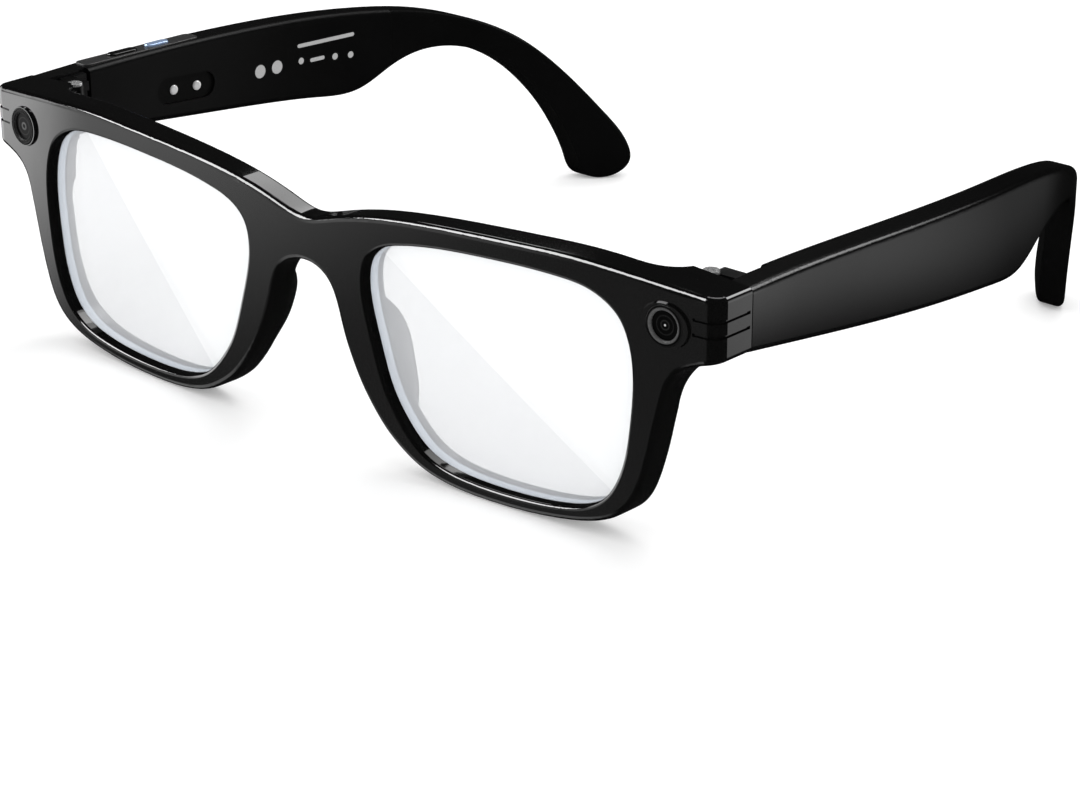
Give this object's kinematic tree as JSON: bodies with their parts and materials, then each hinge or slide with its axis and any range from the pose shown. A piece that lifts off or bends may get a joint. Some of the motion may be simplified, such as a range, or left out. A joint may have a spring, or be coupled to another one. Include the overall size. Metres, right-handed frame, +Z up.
{
  "type": "camera smart glasses",
  "caption": "Thick-rimmed black smart glasses with clear lenses, a camera and a signal light on the endpieces, folding temples with ear bends, and top buttons.",
  "frame": {"origin": "middle of the footprint, on the surface that the rims and the temple tips stand on", "axes": "+X to the wearer's left, -Y where the wearer looks, +Z up"},
  "size_m": [0.153, 0.1302, 0.0415],
  "materials": {
    "frame_gloss": "polished black",
    "temple_gloss": "satin-gloss black",
    "lens_clear": "clear, coated",
    "bezel_black": "dark grey ring",
    "window_glass": "dark tinted",
    "barrel_black": "matte black",
    "optic_glass": "coated optic",
    "sensor_silicon": "silicon",
    "reflector": "mirror-like",
    "emitter": "cream",
    "circuit_board": "solder mask",
    "chip_package": "moulded",
    "flex_film": "amber film",
    "cover_matte": "black",
    "hinge_metal": "blackened steel",
    "screw_metal": "steel",
    "battery_foil": "foil pouch",
    "speaker_body": "moulded",
    "speaker_mesh_cloth": "woven mesh",
    "microphone_can": "plated can",
    "insert_black": "matte black",
    "contact_plating": "plated",
    "strip_satin": "dark satin grey",
    "button_gloss": "gloss black",
    "button_metal": "polished, cool tint",
    "switch_metal": "plated",
    "tip_core_steel": "bare steel"
  },
  "bodies": {
    "front": {"front_frame": "frame_gloss", "lens_right": "lens_clear", "lens_left": "lens_clear", "camera_bezel": "bezel_black", "camera_window": "window_glass", "camera_barrel": "barrel_black", "camera_lens": "optic_glass", "camera_sensor": "sensor_silicon", "camera_board": "circuit_board", "light_bezel": "bezel_black", "light_window": "window_glass", "light_reflector": "reflector", "light_emitter": "emitter", "light_board": "circuit_board", "front_lead": "flex_film", "lead_cover": "cover_matte", "hinge_front_left": "hinge_metal", "hinge_front_right": "hinge_metal", "hinge_front_screws": "screw_metal"},
    "temple_right": {"temple_shell_right": "temple_gloss", "temple_cover_right": "temple_gloss", "tip_core_right": "tip_core_steel", "hinge_temple_right": "hinge_metal", "hinge_screw_right": "screw_metal", "hinge_temple_screws_right": "screw_metal", "speaker_right": "speaker_body", "speaker_mesh_right": "speaker_mesh_cloth", "microphone_right": "microphone_can", "main_board": "circuit_board", "main_chips": "chip_package", "battery_right": "battery_foil", "control_strip": "strip_satin", "switch_board": "circuit_board", "tact_switches": "switch_metal", "charge_insert": "insert_black", "charge_contacts": "contact_plating"},
    "temple_left": {"temple_shell_left": "temple_gloss", "temple_cover_left": "temple_gloss", "tip_core_left": "tip_core_steel", "hinge_temple_left": "hinge_metal", "hinge_screw_left": "screw_metal", "hinge_temple_screws_left": "screw_metal", "speaker_left": "speaker_body", "speaker_mesh_left": "speaker_mesh_cloth", "microphone_left": "microphone_can", "power_board": "circuit_board", "power_chips": "chip_package", "battery_left": "battery_foil"},
    "capture_button": {"capture_button": "button_gloss"},
    "power_button": {"power_button": "button_metal"}
  },
  "joints": [
    {"name": "temple_left_fold", "type": "hinge", "parent": "front", "child": "temple_left", "pos_m": [0.0669, -0.05152, 0.0357], "axis": [0, 0, 1], "range_deg": [0, 81]},
    {"name": "temple_right_fold", "type": "hinge", "parent": "front", "child": "temple_right", "pos_m": [-0.0669, -0.05152, 0.0357], "axis": [0, 0, -1], "range_deg": [0, 73]},
    {"name": "capture_button_press", "type": "slide", "parent": "temple_right", "child": "capture_button", "axis": [0, -0.0175, -0.9998], "range_m": [0, 0.0003], "stiffness_N_per_m": 1500, "springref_m": -0.0003},
    {"name": "power_button_press", "type": "slide", "parent": "temple_right", "child": "power_button", "axis": [0, -0.0175, -0.9998], "range_m": [0, 0.0003], "stiffness_N_per_m": 1500, "springref_m": -0.0003}
  ]
}
